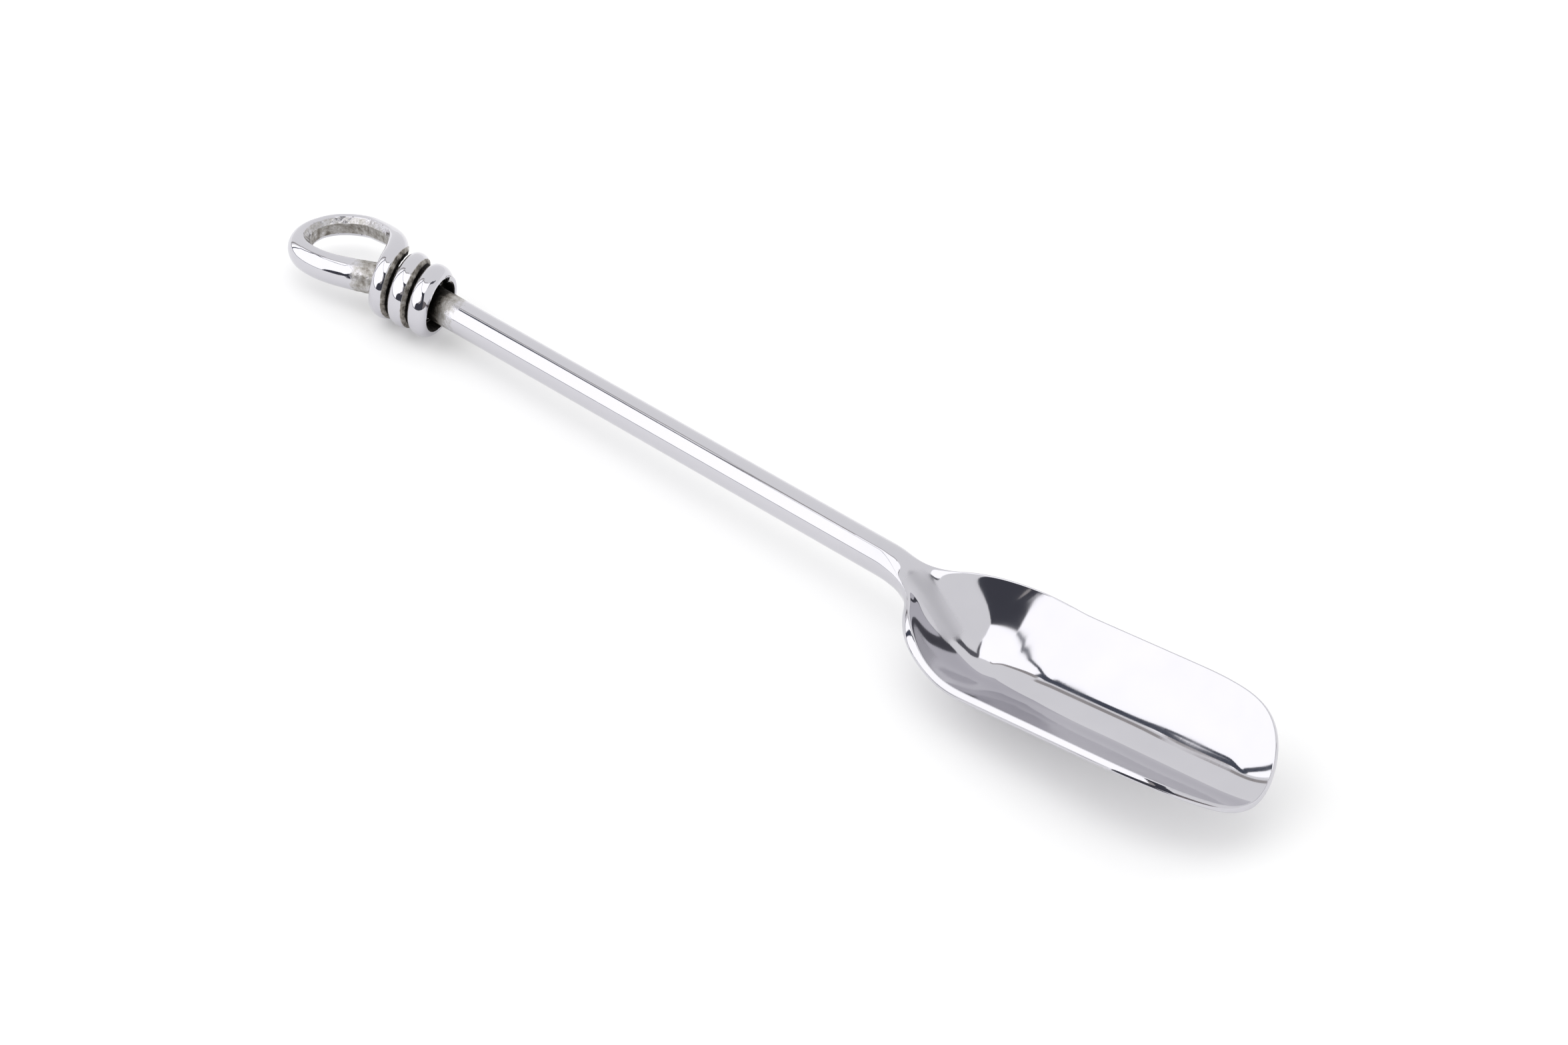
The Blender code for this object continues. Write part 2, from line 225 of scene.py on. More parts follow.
def sheet_normal(x, y):
    along = sheet_point(x + SLOPE_STEP, y) - sheet_point(x - SLOPE_STEP, y)
    across = sheet_point(x, y + SLOPE_STEP) - sheet_point(x, y - SLOPE_STEP)
    return along.cross(across).normalized()


print("depth where the lip starts in mm:", round((rim_height(LIP_START) - floor_height(LIP_START)) / MM, 2))

# %% [markdown]
# The rows of the trough's sheet are spokes, which run from the middle line over the rim and back underneath.
# They follow the whole rim, up the far side, round the lip and back down the near side,
# so that the flat edge with its two small roundings has the same section everywhere.

# %% Spokes round the rim
NECK_SPOKES = 110
TROUGH_SPOKES = 40
LIP_SPOKES = 70
SIDE_SPOKES = NECK_SPOKES + TROUGH_SPOKES + LIP_SPOKES
FAN_SHARE = 0.42


def side_spoke(i):
    """(x on the middle line, x at the rim, y at the rim) of a far spoke, counted from the neck on."""
    if i < NECK_SPOKES:
        x = SHOULDER_END * i / NECK_SPOKES
        return x, x, half_width(x)
    i -= NECK_SPOKES
    if i < TROUGH_SPOKES:
        x = SHOULDER_END + TROUGH_LENGTH * i / TROUGH_SPOKES
        return x, x, half_width(x)
    turn = math.pi / 2 * (i - TROUGH_SPOKES) / LIP_SPOKES
    share = math.sin(turn) ** (2 / LIP_FRONT_POWER)
    q = math.cos(turn) ** (2 / LIP_SIDE_POWER)
    reach = LIP_LENGTH * share
    return LIP_START + FAN_SHARE * reach, LIP_START + reach, q * SCOOP_WIDTH / 2


SPOKES = [side_spoke(i) for i in range(SIDE_SPOKES + 1)]
SPOKES += [(middle, x, -y) for middle, x, y in reversed(SPOKES[:-1])]
print(len(SPOKES), "spokes round the rim")

# %% [markdown]
# On each spoke, the section goes from a half circle at the neck to a thin sheet with a flat edge.
# The edge meets the inside in a crisp corner and the outside in a softer one, as a polishing wheel leaves it,
# and it is crowned by a hair's breadth, so that reflections run along it in streaks.
# The lip curls up a little on its far side.

# %% The section on a spoke
TOP_POINTS = 56
CORNER_POINTS = 7
FACE_POINTS = 5
RIM_CROWN = 0.05 * MM
SPOKE_POINTS = 2 * (TOP_POINTS + CORNER_POINTS + FACE_POINTS) + 1
INSIDE_CORNER = 0.16 * MM
OUTSIDE_CORNER = 0.42 * MM
NECK_FULLNESS = 1.381
LIP_CURL = 0.7 * MM
CURL_REACH = 7.0 * MM
CURL_SIDE = 9.0 * MM
CURL_LEAD = 0.7
CURL_POWER = 2.5
CURL_MIDDLE = 0.75
MIDDLE_EASE = 0.8


def edge_section(i, reach, half_wall, corner):
    """(inset from the rim, height) on half of the sheet's section, i from the rim's middle inwards."""
    if i <= FACE_POINTS:
        return -RIM_CROWN * (1 - (i / FACE_POINTS) ** 2), (half_wall - corner) * i / FACE_POINTS
    i -= FACE_POINTS
    if i <= CORNER_POINTS:
        turn = math.pi / 2 * i / CORNER_POINTS
        return corner * (1 - math.cos(turn)), half_wall - corner * (1 - math.sin(turn))
    t = (i - CORNER_POINTS) / TOP_POINTS
    eased = mix(t, 1 - math.cos(math.pi / 2 * t), MIDDLE_EASE)
    return mix(corner, reach, eased), half_wall


def trough_corner(row, column):
    middle, rim_x, rim_y = SPOKES[row]
    i = SPOKE_POINTS // 2 - column
    above = i >= 0
    reach = math.hypot(rim_x - middle, rim_y)
    half_wall = wall(rim_x) / 2
    corner = INSIDE_CORNER if above else OUTSIDE_CORNER
    inset, height = edge_section(abs(i), reach, half_wall, min(corner, half_wall / 2))
    turn = math.pi / 2 * abs(i) / (SPOKE_POINTS // 2)
    flat = opened(middle) ** NECK_FULLNESS
    share = mix(math.cos(turn), 1 - inset / reach, flat)
    height = mix(half_wall * math.sin(turn), height, flat)
    x, y = mix(middle, rim_x, share), rim_y * share
    normal = mix(UP, sheet_normal(x, y), opened(x)).normalized()
    near_lip = smooth((rim_x - LIP_START) / LIP_LENGTH * 2 - CURL_LEAD)
    near_rim = max(1 - (1 - share) * reach / CURL_REACH, 0.0)
    curl = LIP_CURL * near_lip * near_rim**CURL_POWER * smooth(CURL_MIDDLE + rim_y / CURL_SIDE)
    return sheet_point(x, y) + curl * UP + (height if above else -height) * normal


print(SPOKE_POINTS, "corners on each spoke")

# %% [markdown]
# The ramp behind the neck is too hollow for the polishing wheel, so the rule for the polish leaves its middle
# a little duller. Its place is given on the table, and not along the bar.
# Under its heel, the trough is ground level with the table, which gives the small flat that it rests on.

# %% Forge the trough
NECK_WELD_LENGTH = 2.0 * MM
NECK_END = (BAR_LENGTH / 2 + NECK_WELD_LENGTH) * ALONG
SATIN_START = 39.0 * MM
SATIN_END = 51.5 * MM
SATIN_FADE = 2.0 * MM
SATIN_MIDDLE = -0.4 * MM
SATIN_REACH = 3.2 * MM


def ramp_polish(row, column):
    """1 where the wheel reaches, and 0 in the middle of the ramp."""
    place = LAID_DOWN @ (NECK_END + trough_corner(row, column))
    along = smooth((place.x - SATIN_START) / SATIN_FADE) * smooth((SATIN_END - place.x) / SATIN_FADE)
    return 1 - along * smooth(2 - 2 * abs(place.y - SATIN_MIDDLE) / SATIN_REACH)


scoop = forged(
    sheet_stock("scoop_trough", len(SPOKES), SPOKE_POINTS),
    len(SPOKES),
    SPOKE_POINTS,
    lambda row, column: NECK_END + trough_corner(row, column),
    polished=ramp_polish,
)
low = min(v.co.z for v in scoop.data.vertices)
print("lowest point of the trough in mm:", round(low / MM, 3))
for v in scoop.data.vertices:
    v.co.z = max(v.co.z, 0.0)

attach(scoop, "root")
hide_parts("scoop")

# %% [markdown]
# The knot is one casting: a bar that leaves the weld as a leg, goes round the eye
# and wraps the handle almost three times.
# Its path is the CAD's own: an arc for the eye, a leaning helix for the turns and soft curves between them.
# What the CAD leaves plain is the bar's section, which is followed here in many more places,
# and the last turn, which widens here until it fills the casting up to the plane of its mouth.

# %% The knot's path
LEG_ANGLE = 17.0 * DEG
EYE_REACH = 18.8 * MM
EYE_OFFSET = 0.95 * MM
EYE_RADIUS = 6.95 * MM
EYE_START = -97.0 * DEG
EYE_END = 77.0 * DEG - 2 * math.pi
EYE_CLIMB = 1.0 * MM
CLIMB_ANGLE = 60.0 * DEG
COIL_TURNS = 2.9
COIL_PITCH = 5.05 * MM
COIL_START = 3.8 * MM
COIL_CLEARANCE = 1.5 * MM
COIL_TAPER = 0.45 * MM
COIL_GAP = 0.3 * MM
CROWN_HEIGHT = 1.75 * MM
BORE_HEIGHT = 0.6 * MM
LEAN_IN_FRONT = 1.9 * MM
LEAN_ON_TOP = 1.5 * MM
COIL_SHIFT = 0.45 * MM
START_SHARE = 0.35
TAIL_SHARE = 0.2
TAIL_HALF_WIDTH = 0.12 * MM
TAIL_SINK = 1.8 * MM
MOUTH_PLANE = 8.6 * MM
MOUTH_RISE = 0.9 * MM
MOUTH_LEAD = 1.3
MOUTH_BLEND = 0.3
TAIL_CROWN = 0.75 * MM
TAIL_BORE = 0.35 * MM
LEG_HEADING = Vector((-math.cos(LEG_ANGLE), -math.sin(LEG_ANGLE), 0))


def bezier(start, leave, arrive, end, t):
    s = 1 - t
    return s**3 * start + 3 * s * s * t * leave + 3 * s * t * t * arrive + t**3 * end


def thinning(share):
    """0 along the coil and 1 at its tail."""
    return smooth((share - 1) / TAIL_SHARE + 1)


def crown_height(share):
    return mix(CROWN_HEIGHT, TAIL_CROWN, thinning(share))


def bore_height(share):
    return mix(BORE_HEIGHT, TAIL_BORE, thinning(share))


def width_share(share):
    """The bar's width against the room between two turns.

    The last turn fills what is left of it up to the mouth.
    """
    turns = COIL_TURNS * share
    left = COIL_PITCH * (turns - 0.5) - COIL_START + COIL_GAP / 2
    right = left + COIL_PITCH - COIL_GAP
    mouth = MOUTH_PLANE + MOUTH_RISE * (1 - math.cos(2 * math.pi * turns))
    right = mix(right, mouth, smooth((turns - COIL_TURNS + MOUTH_LEAD) / MOUTH_BLEND))
    return max((right - left) / (COIL_PITCH - COIL_GAP), 0.0)


def coil_radius(share):
    """From the handle's axis to the middle of the coil's bar.

    At the tail, the bar's crown sinks into the mouth's rounding.
    """
    sunk = TAIL_SINK * (1 - math.sqrt(1 - (1 - min(width_share(share), 1.0)) ** 2))
    crown = BAR_RADIUS + COIL_CLEARANCE + BORE_HEIGHT + CROWN_HEIGHT - COIL_TAPER * share - sunk
    return crown - crown_height(share)


def coil_slant(share):
    """Cosine of the angle between the coil's bar and a plain ring round the handle."""
    turn = 2 * math.pi * COIL_TURNS * share
    advance = COIL_PITCH / (2 * math.pi) + LEAN_IN_FRONT * math.cos(turn) - LEAN_ON_TOP * math.sin(turn)
    return math.cos(math.atan2(advance, coil_radius(share)))


def room(share):
    """Half of the width that the neighbouring turns leave for the bar."""
    return (COIL_PITCH * coil_slant(share) - COIL_GAP) / 2


def coil_half_width(share):
    """The bar comes in narrow, fills the room between the turns and is squeezed out by the mouth."""
    width = mix(room(0), room(share), smooth(share / START_SHARE))
    return max(width * width_share(share), TAIL_HALF_WIDTH)


def coil_point(share):
    """The middle of the coil's bar. A narrow start keeps to the next turn, a thin tail to the last one."""
    turn = 2 * math.pi * COIL_TURNS * share
    lean = LEAN_IN_FRONT * math.sin(turn) + LEAN_ON_TOP * math.cos(turn)
    spare = (room(share) - coil_half_width(share)) / coil_slant(share)
    tuck = spare if share < 0.5 else -spare
    along = COIL_PITCH * COIL_TURNS * share + lean + tuck - COIL_START
    around = Vector((0, -math.sin(turn), math.cos(turn)))
    return Vector((0, -COIL_SHIFT * (1 - share), 0)) + along * ALONG + coil_radius(share) * around


def eye_point(angle):
    climbed = max(EYE_END + CLIMB_ANGLE - angle, 0.0) / CLIMB_ANGLE
    return Vector((
        EYE_RADIUS * math.cos(angle) - EYE_REACH,
        EYE_RADIUS * math.sin(angle) + EYE_OFFSET,
        EYE_CLIMB * climbed**2,
    ))


print("the eye's bar goes round", round((EYE_START - EYE_END) / DEG), "degrees")

# %% [markdown]
# A station is a place on the path with the bar's half width and its heights outwards and inwards.
# It also says how far the bar has turned from the eye to the coil,
# and how much of the eye's inner skin is left as cast.

# %% Stations along the knot
LEG_STEPS, EYE_STEPS, RETURN_STEPS, COIL_STEPS = 70, 200, 90, 320
BAR_AT_NEAR_SIDE = 2.7 * MM
BAR_AT_END = 2.0 * MM
FLATTENED_INSIDE = 0.75
RETURN_LEAVES = 0.6
RETURN_ARRIVES = 0.25
NUDGE = 0.01


def leg_stations():
    start, end = Vector((0, 0, 0)), eye_point(EYE_START)
    arriving = (eye_point(EYE_START - NUDGE) - end).normalized()
    reach = (end - start).length / 3
    for i in range(LEG_STEPS):
        t = i / LEG_STEPS
        middle = bezier(start, start + reach * LEG_HEADING, end - reach * arriving, end, t)
        radius = mix(BAR_RADIUS, BAR_AT_NEAR_SIDE, t)
        yield middle, radius, radius, radius * mix(1, FLATTENED_INSIDE, smooth(t)), 0.0, smooth(t)


def eye_stations():
    for i in range(EYE_STEPS):
        t = i / EYE_STEPS
        radius = mix(BAR_AT_NEAR_SIDE, BAR_AT_END, min(2 * t, 1.0))
        yield eye_point(mix(EYE_START, EYE_END, t)), radius, radius, radius * FLATTENED_INSIDE, 0.0, 1.0


def return_stations():
    start, end = eye_point(EYE_END), coil_point(0)
    leaving = (start - eye_point(EYE_END + NUDGE)).normalized()
    arriving = (coil_point(NUDGE) - coil_point(-NUDGE)).normalized()
    span = (end - start).length
    leave, arrive = start + RETURN_LEAVES * span * leaving, end - RETURN_ARRIVES * span * arriving
    for i in range(RETURN_STEPS):
        t = i / RETURN_STEPS
        width = mix(BAR_AT_END, coil_half_width(0), t)
        crown = mix(BAR_AT_END, CROWN_HEIGHT, t)
        bore = mix(BAR_AT_END * FLATTENED_INSIDE, BORE_HEIGHT, t)
        yield bezier(start, leave, arrive, end, t), width, crown, bore, smooth(t), 1 - smooth(t)


def coil_stations():
    for i in range(COIL_STEPS + 1):
        share = i / COIL_STEPS
        yield coil_point(share), coil_half_width(share), crown_height(share), bore_height(share), 1.0, 0.0


STATIONS = [*leg_stations(), *eye_stations(), *return_stations(), *coil_stations()]
print(len(STATIONS), "stations along the knot")

# %% [markdown]
# The wheel polishes the outside of the eye and stops at a crisp edge.
# Inside, two flats stay as they came from the mould:
# one leans up to the edge, and one stands upright below a ridge.
# The section is an ellipse with those two flats cut into it, and columns of corners lie right on both edges.

# %% The knot's section
KNOT_POINTS = 96
EDGE_COLUMN = 44
RIDGE_COLUMN = 32
WALL_SHARE = 0.83
KNOT_WELD_LENGTH = 1.6 * MM
LEG_END = -(BAR_LENGTH / 2 + KNOT_WELD_LENGTH) * ALONG
EDGE_TURN = 2 * math.pi * EDGE_COLUMN / KNOT_POINTS
EDGE = Vector((math.sin(EDGE_TURN), -math.cos(EDGE_TURN)))
RIDGE = WALL_SHARE * Vector((1, -1 / math.tan(2 * math.pi * RIDGE_COLUMN / KNOT_POINTS)))


def flats(inward, up):
    """How far a point of the unit circle is drawn in to lie on the eye's two flats."""
    share = 1.0
    if inward > 0:
        share = min(share, WALL_SHARE / inward)
        run, rise = RIDGE.x - EDGE.x, EDGE.y - RIDGE.y
        across = inward * rise + up * run
        if across > 0:
            share = min(share, (EDGE.x * rise + EDGE.y * run) / across)
    return share


def knot_corner(row, column):
    middle, width, crown, bore, coiling, skin = STATIONS[row]
    before, after = STATIONS[max(row - 1, 0)][0], STATIONS[min(row + 1, len(STATIONS) - 1)][0]
    heading = (after - before).normalized() if row else LEG_HEADING
    into_bore = Vector((0, -middle.y, -middle.z)).normalized()
    inward = heading.cross(UP).normalized().lerp(into_bore, coiling)
    inward = (inward - inward.dot(heading) * heading).normalized()
    turn = 2 * math.pi * column / KNOT_POINTS
    s, c = math.sin(turn), math.cos(turn)
    share = mix(1, flats(s, -c), skin)
    height = s * (bore if s > 0 else crown)
    return LEG_END + middle + share * (c * width * heading.cross(inward) + height * inward)


# %% [markdown]
# The wheel does not reach everywhere. It leaves the eye's inner flats, the grooves between the turns
# and the leg's last few millimetres before the turns as they came from the mould.
# The finish fades out between, by rules in turns of the coil and in heights on the bar's section; at the
# bottom of the grooves they fall to nothing, which is painted black as shade.

# %% What the wheel reaches on the knot
WALL_COLUMN = 15
UPPER_FLAT_POLISH = 0.5
LOWER_FLAT_POLISH = 0.38
LEG_POLISH = 0.42
TAIL_POLISH = 0.5
FLANK_POLISH = 0.29
FIRST_TURN = 0.9
FIRST_FLANK_END = 0.95
FIRST_FLANK_FADE = 0.3
LAST_TURN = 1.05
LAST_FLANK_END = 0.12
LAST_FLANK_FADE = 0.2
FLANK_START = 0.22
LEFT_CROWN_START = 0.38
RIGHT_CROWN_START = 0.66
CROWN_FADE = 0.12
TAIL_FADE = 0.12
LEG_ROUGH_SHARE = 0.36
LEG_FADE = 0.26
KNOT_CRISP = 24
FIRST_COIL_ROW = LEG_STEPS + EYE_STEPS + RETURN_STEPS


def groove_polish_and_shade(row, s, c):
    """Crowns, with s at -1, are polished, and grooves are not; near a groove's bottom the value falls to 0,
    which is painted black as shade.

    A right flank, with c above 0, stays rough further up than a left one, but not at the coil's ends.
    """
    turns = COIL_TURNS * (row - FIRST_COIL_ROW) / COIL_STEPS
    if c < 0 and turns < FIRST_TURN:
        flank = smooth((FIRST_FLANK_END - s) / FIRST_FLANK_FADE)
    elif c > 0 and turns > COIL_TURNS - LAST_TURN:
        flank = smooth((LAST_FLANK_END - s) / LAST_FLANK_FADE)
    else:
        # Past FLANK_START the rough flank falls to 0, which paints the groove's bottom black as shade.
        rough = FLANK_POLISH * smooth((-s - FLANK_START) / CROWN_FADE)
        crown_start = RIGHT_CROWN_START if c > 0 else LEFT_CROWN_START
        flank = mix(rough, 1, smooth((-s - crown_start) / CROWN_FADE))
    return mix(flank, TAIL_POLISH, smooth((turns - COIL_TURNS) / TAIL_FADE + 1))


def knot_polish_and_shade(row, column):
    coiling, skin = STATIONS[row][4:]
    turn = 2 * math.pi * column / KNOT_POINTS
    on_flats = WALL_COLUMN < column < EDGE_COLUMN
    flat = UPPER_FLAT_POLISH if column > RIDGE_COLUMN else LOWER_FLAT_POLISH
    in_eye = mix(1, flat, skin) if on_flats else 1.0
    leg = mix(LEG_POLISH, 1, smooth((row / LEG_STEPS - LEG_ROUGH_SHARE) / LEG_FADE))
    return leg * mix(in_eye, groove_polish_and_shade(row, math.sin(turn), math.cos(turn)), coiling)


knot = forged(
    sheet_stock("cast_knot", len(STATIONS), KNOT_POINTS + 1),
    len(STATIONS),
    KNOT_POINTS + 1,
    knot_corner,
    polished=knot_polish_and_shade,
    crisp=KNOT_CRISP,
)

# %% [markdown]
# As-cast steel is lumpy at a little under a millimetre. A Displace modifier gives those lumps
# from a cloud texture, and a vertex group keeps them away from what was polished.

# %% The skin left by the mould
SKIN_LUMP = 0.8 * MM
SKIN_DEPTH = 0.22 * MM
SKIN_START = 0.95
SKIN_FADE = 0.5
skin_group = knot.vertex_groups.new(name="as_cast")
for corner, polish in zip(knot.data.vertices, knot.data.attributes["polish"].data):
    skin_group.add([corner.index], smooth((SKIN_START - polish.value) / SKIN_FADE), "REPLACE")
clouds = bpy.data.textures.new("mould_skin", "CLOUDS")
clouds.noise_scale = SKIN_LUMP
clouds.noise_depth = 2
lumps = knot.modifiers.new("mould_skin", "DISPLACE")
lumps.texture = clouds
lumps.texture_coords = "LOCAL"
lumps.strength = SKIN_DEPTH
lumps.vertex_group = skin_group.name
bpy.ops.object.select_all(action="DESELECT")
bpy.context.view_layer.objects.active = knot
bpy.ops.object.modifier_apply(modifier=lumps.name)
print("knot's skin is", round(SKIN_DEPTH / MM, 2), "mm deep at most")

# %% [markdown]
# Under the turns, the casting has a sleeve that takes the bar, with a wider mouth where the bar goes in.
# A circle is laid to the sleeve's outline, corner by corner, and spun round the bar.
# A bevel rounds its sharp edges.

# %% The sleeve's outline
SOCKET_CLEARANCE = 0.3 * MM
SLEEVE_WALL = 1.9 * MM
SLEEVE_LAP = 2.15 * MM
MOUTH_INSET = 0.25 * MM
MOUTH_LENGTH = 2.3 * MM
MOUTH_DEPTH = 2.0 * MM
MOUTH_CLEARANCE = 1.75 * MM
MOUTH_WALL = 1.3 * MM
MOUTH_STEPS = 8


def sleeve_outline():
    """(x, radius) of the outline's corners, measured from the leg's end.

    The mouth's outside is rounded to its inner edge.
    """
    bore = BAR_RADIUS + SOCKET_CLEARANCE
    sleeve = bore + SLEEVE_WALL
    mouth_bore = BAR_RADIUS + MOUTH_CLEARANCE
    start = COIL_PITCH - COIL_START - SLEEVE_LAP
    end = MOUTH_PLANE - MOUTH_INSET
    floor = end - MOUTH_DEPTH
    corners = [(start, bore), (start, sleeve), (end - MOUTH_LENGTH, sleeve)]
    for i in range(MOUTH_STEPS + 1):
        turn = math.pi / 2 * i / MOUTH_STEPS
        corners.append((end - MOUTH_LENGTH * (1 - math.sin(turn)), mouth_bore + MOUTH_WALL * math.cos(turn)))
    return [*corners, (floor, mouth_bore), (floor, bore)]


print("the sleeve's outline has", len(sleeve_outline()), "corners")

# %% Spin the sleeve
SLEEVE_STEPS = 96
SLEEVE_SHARP = 60 * DEG
SLEEVE_EDGE = 0.15 * MM
EDGE_SEGMENTS = 4
bpy.ops.object.select_all(action="DESELECT")
bpy.ops.mesh.primitive_circle_add(vertices=len(sleeve_outline()), radius=BAR_RADIUS)
sleeve = bpy.context.object
sleeve.name = sleeve.data.name = "sleeve"
for corner, (x, radius) in zip(sleeve.data.vertices, sleeve_outline()):
    corner.co = (x, 0, radius)
bpy.ops.object.mode_set(mode="EDIT")
bpy.ops.mesh.select_all(action="SELECT")
bpy.ops.mesh.spin(steps=SLEEVE_STEPS, angle=2 * math.pi, center=(0, 0, 0), axis=(1, 0, 0))
bpy.ops.mesh.select_all(action="SELECT")
bpy.ops.mesh.remove_doubles(threshold=MERGE_REACH)
bpy.ops.mesh.normals_make_consistent(inside=False)
bpy.ops.mesh.select_all(action="DESELECT")
bpy.ops.mesh.select_mode(type="EDGE")
bpy.ops.mesh.edges_select_sharp(sharpness=SLEEVE_SHARP)
bpy.ops.mesh.bevel(offset=SLEEVE_EDGE, segments=EDGE_SEGMENTS, affect="EDGES")
bpy.ops.object.mode_set(mode="OBJECT")
print("sleeve has", len(sleeve.data.polygons), "faces")

# %% [markdown]
# The turns lean, so the sleeve is slanted as they are, and its mouth rises as the last turn does.
# Only its mouth has seen the wheel: the rounding on the far side, and the inside a little beside the tail.
# Its polish is 0 everywhere else, which is painted black as shade in the gaps between the turns and inside
# the mouth.

# %% Slant and finish the sleeve
TAIL_ANGLE = 35 * DEG
TAIL_SIDE = Vector((math.sin(TAIL_ANGLE), math.cos(TAIL_ANGLE)))
TAIL_REACH = 0.85
TAIL_REACH_FADE = 0.12
MOUTH_MARGIN = 0.05 * MM
MOUTH_FADE = 0.4 * MM
FAR_SIDE_FADE = 2 * MM
SLANT_IN_FRONT = LEAN_IN_FRONT / coil_radius(0)
SLANT_ON_TOP = LEAN_ON_TOP / coil_radius(0)
mouth_end, mouth_bore = sleeve_outline()[-3]
polish = sleeve.data.attributes.new("polish", "FLOAT", "POINT")
for corner in sleeve.data.vertices:
    x, y, z = corner.co
    at_end = 1.0 if x > mouth_end - MOUTH_LENGTH - MOUTH_MARGIN else 0.0
    outside = smooth((math.hypot(y, z) - mouth_bore) / MOUTH_FADE)
    beside_tail = smooth((Vector((y, z)).normalized().dot(TAIL_SIDE) - TAIL_REACH) / TAIL_REACH_FADE)
    far_side = smooth(y / FAR_SIDE_FADE + 0.5)
    # Polish 0 on the sleeve paints it black as shade.
    polish.data[corner.index].value = at_end * mix(TAIL_POLISH * beside_tail, far_side, outside)
    x += MOUTH_RISE * (1 - z / math.hypot(y, z)) * smooth(x / mouth_end)
    corner.co = LAID_DOWN @ (LEG_END + Vector((x - SLANT_IN_FRONT * y + SLANT_ON_TOP * z, y, z)))
print("the sleeve's mouth is", round(mouth_end / MM, 2), "mm from the leg's end")

# %% [markdown]
# A Boolean joins the sleeve to the knot, as in the casting. It is a modifier:
# it is added to the knot, pointed at the sleeve and applied, and the sleeve's object goes.

# %% Join the sleeve to the knot
bpy.ops.object.select_all(action="DESELECT")
bpy.context.view_layer.objects.active = knot
joint = knot.modifiers.new("sleeve", "BOOLEAN")
joint.operation = "UNION"
joint.solver = "EXACT"
joint.use_self = True
joint.object = sleeve
bpy.ops.object.modifier_apply(modifier=joint.name)
bpy.data.objects.remove(sleeve)
knot.select_set(True)
bpy.ops.object.shade_smooth_by_angle(angle=KNOT_CRISP * DEG)
print("knot has", len(knot.data.polygons), "faces")

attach(knot, "root")
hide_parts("knot")

# %% [markdown]
# The bar is drawn stock, cut to length. A cylinder is added in its place, and cuts across it give it rings,
# which carry the finish along it. A polished bar is never quite round either: the wheel has ground a flat
# a few tenths of a millimetre wide along its top, and that widens the dark line it mirrors.
# Next to the knot's mouth the wheel could not reach it, so its finish fades out there, and where it goes into
# the mouth it is painted black as shade.

# %% A length of bar
# The first two values mark where the bar goes into the knot's mouth; up to there it is painted black as
# shade.
MOUTH_SHADE_END = -46.5 * MM
MOUTH_SHADE_FADE = 2.5 * MM
SMUDGE_END = -45.0 * MM
SMUDGE_FADE = 10.0 * MM
SMUDGED_POLISH = 0.35
FLAT_TURN = -24.2 * DEG
FLAT_WIDTH = 3.4 * DEG
FLAT_DEPTH = 0.0075 * MM
LONG_EDGE = 0.9
BAR_CRISP = 40
BAR_COLUMNS = 512
HANDLE_CUTS = 99
WELD_CUTS = 6


def bar_polish_and_shade(along):
    """Painted black as shade in the knot's mouth, smudged beside it and polished further on."""
    shaded_in_mouth = SMUDGED_POLISH * smooth((along - MOUTH_SHADE_END) / MOUTH_SHADE_FADE)
    return mix(shaded_in_mouth, 1, smooth((along - SMUDGE_END) / SMUDGE_FADE))


def ground_flat(place):
    """A point of the bar's skin, drawn in where the flat is ground."""
    turn = math.atan2(place.y, place.z)
    ground = FLAT_DEPTH * math.exp(-(((turn - FLAT_TURN) / FLAT_WIDTH) ** 2) / 2)
    left = 1 - ground / BAR_RADIUS
    return Vector((place.x, place.y * left, place.z * left))


def bar_piece(name, start, end, cuts):
    """A length of the handle's round bar from start to end along its axis, with that many cuts across."""
    bpy.ops.object.select_all(action="DESELECT")
    bpy.ops.mesh.primitive_cylinder_add(
        vertices=BAR_COLUMNS,
        radius=BAR_RADIUS,
        depth=end - start,
        location=LAID_DOWN @ ((start + end) / 2 * ALONG),
        rotation=(0, math.pi / 2 - TILT, 0),
    )
    piece = bpy.context.object
    piece.name = piece.data.name = name
    bpy.ops.object.transform_apply(location=True, rotation=True, scale=True)
    bpy.ops.object.mode_set(mode="EDIT")
    bpy.ops.mesh.select_mode(type="EDGE")
    bpy.ops.mesh.select_all(action="DESELECT")
    shape = bmesh.from_edit_mesh(piece.data)
    for edge in shape.edges:
        edge.select = edge.calc_length() > LONG_EDGE * (end - start)
    bmesh.update_edit_mesh(piece.data)
    bpy.ops.mesh.subdivide(number_cuts=cuts)
    bpy.ops.mesh.select_all(action="DESELECT")
    bpy.ops.object.mode_set(mode="OBJECT")
    bpy.ops.object.shade_smooth_by_angle(angle=BAR_CRISP * DEG)
    polish = piece.data.attributes.new("polish", "FLOAT", "POINT")
    upright = LAID_DOWN.inverted()
    for corner in piece.data.vertices:
        place = upright @ corner.co
        corner.co = LAID_DOWN @ ground_flat(place)
        polish.data[corner.index].value = bar_polish_and_shade(place.x)
    piece.data.update()
    print(name, "has", len(piece.data.polygons), "faces")
    return piece


handle = bar_piece("handle_rod", -BAR_LENGTH / 2, BAR_LENGTH / 2, HANDLE_CUTS)
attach(handle, "root")
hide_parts("handle_bar")

neck_weld = bar_piece("neck_seam", BAR_LENGTH / 2, BAR_LENGTH / 2 + NECK_WELD_LENGTH, WELD_CUTS)
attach(neck_weld, "root")
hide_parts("neck_weld")

# %% [markdown]
# Finishes come from shader nodes. A small helper adds a node and sets or links its inputs,
# and a few more name the nodes that are used most, so that each finish below reads as a list
# of what the real surface has.


